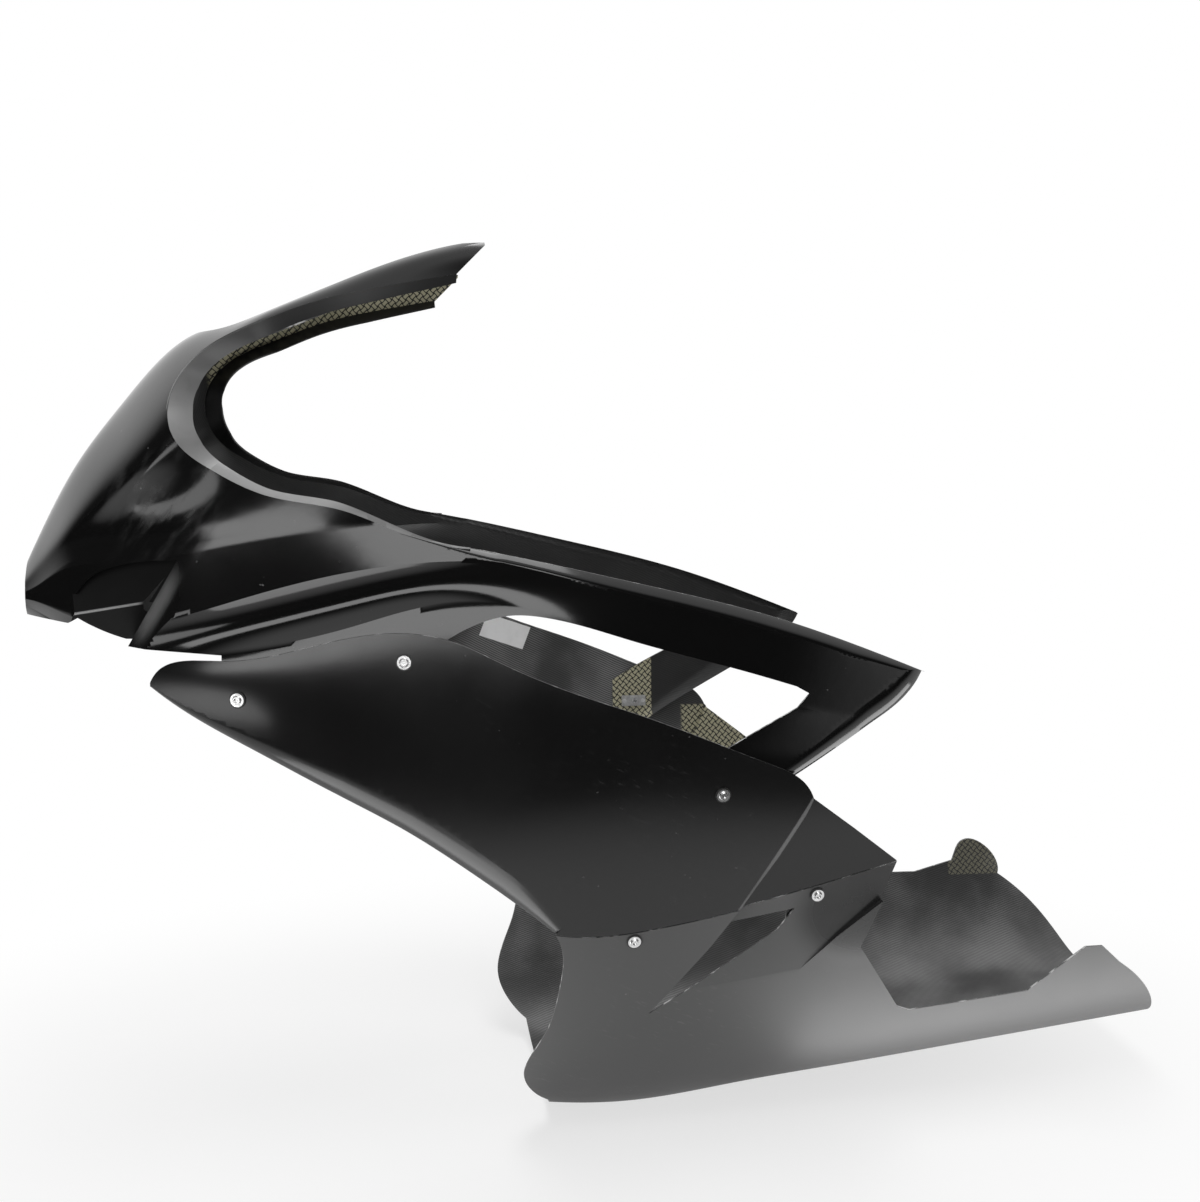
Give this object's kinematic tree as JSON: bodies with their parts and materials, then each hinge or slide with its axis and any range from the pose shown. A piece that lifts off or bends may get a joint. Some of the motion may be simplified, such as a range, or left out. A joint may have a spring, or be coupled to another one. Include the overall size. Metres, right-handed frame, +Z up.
{
  "type": "motorcycle fairing",
  "caption": "Full race fairing for a motorcycle: a nose with two arms and wings, side panels and a belly pan, screwed together at lapped joints.",
  "frame": {"origin": "on the mid-plane inside the nose, where the front stay of the motorcycle carries the fairing", "axes": "+X rearward along the motorcycle, +Y to the rider's right, +Z up, nose towards -X"},
  "size_m": [1.2826, 0.4924, 0.9519],
  "materials": {
    "gloss_black_laminate": "gloss gelcoat, scuffed",
    "satin_black_laminate": "satin, lightly scratched",
    "satin_grey_laminate": "satin",
    "zinc_steel": "bright zinc",
    "black_nylon": "matt",
    "plate_steel": "plain",
    "rivet_aluminium": "plain"
  },
  "bodies": {
    "root": {"upper_fairing": "gloss_black_laminate", "left_side_panel": "satin_black_laminate", "right_side_panel": "satin_black_laminate", "belly_pan": "satin_grey_laminate", "panel_screws": "zinc_steel", "screw_washers": "black_nylon", "nut_plates": "plate_steel", "floating_nuts": "plate_steel", "nut_plate_rivets": "rivet_aluminium"}
  },
  "joints": []
}
